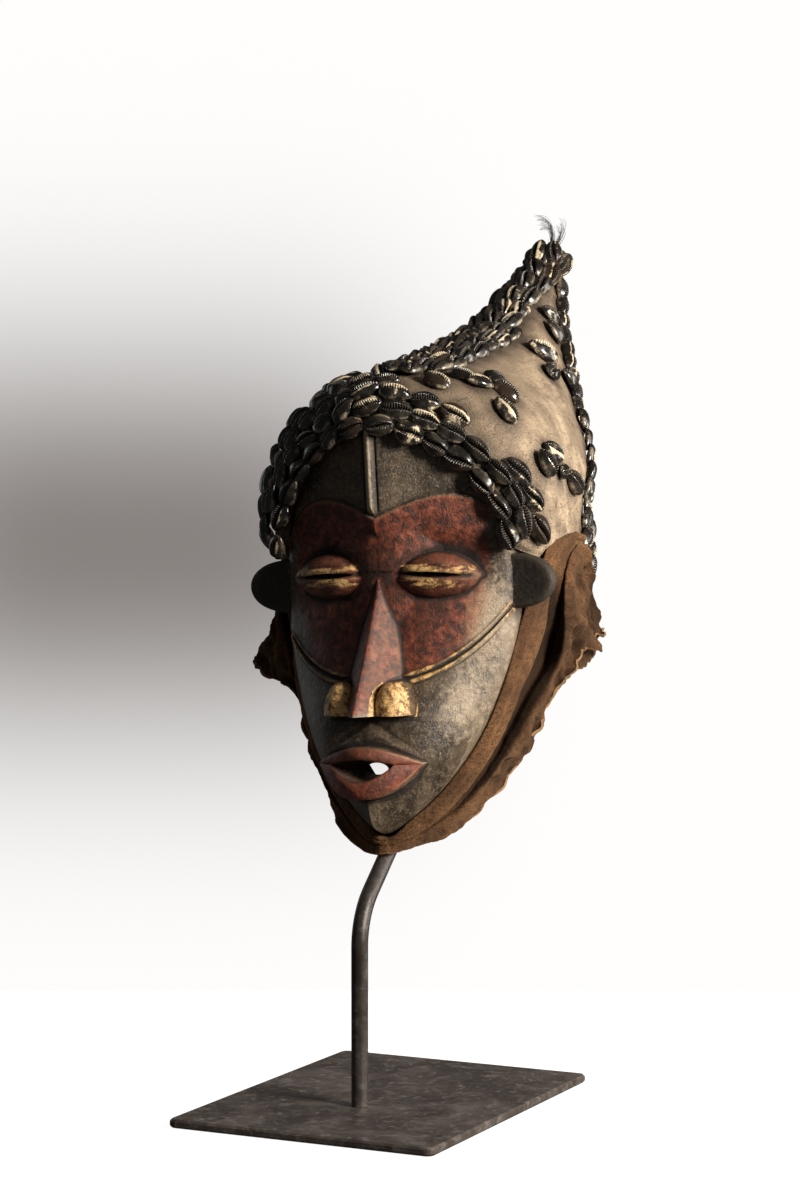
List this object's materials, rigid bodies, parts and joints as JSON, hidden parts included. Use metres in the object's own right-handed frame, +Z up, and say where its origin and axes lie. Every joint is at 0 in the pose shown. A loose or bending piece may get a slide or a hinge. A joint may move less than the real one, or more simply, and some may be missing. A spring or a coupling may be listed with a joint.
{
  "type": "carved wooden face mask on a stand",
  "caption": "Carved wooden face mask with slit eyes and open lips, a pointed hide hood trimmed with cowrie shells and a neck cloth, held on a bent steel rod with a foot plate.",
  "frame": {"origin": "middle of the foot plate's underside", "axes": "+Z up; the mask looks along -Y; +X is the side of the mask on the viewer's right"},
  "size_m": [0.2154, 0.393, 0.5469],
  "materials": {
    "carved_wood": "satin, mottled, red paint on the upper face",
    "hide": "dull, worn, grey-brown",
    "cowrie_shell": "glossy, darkened, cream wear on the lips",
    "neck_cloth": "coarse brown weave",
    "hair": "stiff dark hair",
    "stand_steel": "dark brown patina, satin"
  },
  "bodies": {
    "root": {"base_plate": "stand_steel", "stand_rod": "stand_steel", "stand_crossbar": "stand_steel", "face_mask": "carved_wood", "hide_hood": "hide", "neck_cloth": "neck_cloth", "hair_tuft": "hair", "face_band_cowries_1": "cowrie_shell", "crest_cowries_1": "cowrie_shell", "face_band_cowries_2": "cowrie_shell", "crest_cowries_2": "cowrie_shell", "face_band_cowries_3": "cowrie_shell", "crest_cowries_3": "cowrie_shell", "rear_seam_cowries_right_1": "cowrie_shell", "rear_seam_cowries_right_2": "cowrie_shell", "loose_cowries_right_1": "cowrie_shell", "loose_cowries_right_2": "cowrie_shell", "loose_cowries_right_3": "cowrie_shell", "loose_cowries_right_4": "cowrie_shell", "loose_cowries_right_5": "cowrie_shell", "loose_cowries_right_6": "cowrie_shell", "loose_cowries_right_7": "cowrie_shell", "rear_seam_cowries_left_1": "cowrie_shell", "rear_seam_cowries_left_2": "cowrie_shell", "loose_cowries_left_1": "cowrie_shell", "loose_cowries_left_2": "cowrie_shell", "loose_cowries_left_3": "cowrie_shell", "loose_cowries_left_4": "cowrie_shell", "loose_cowries_left_5": "cowrie_shell", "loose_cowries_left_6": "cowrie_shell", "loose_cowries_left_7": "cowrie_shell"}
  },
  "joints": []
}
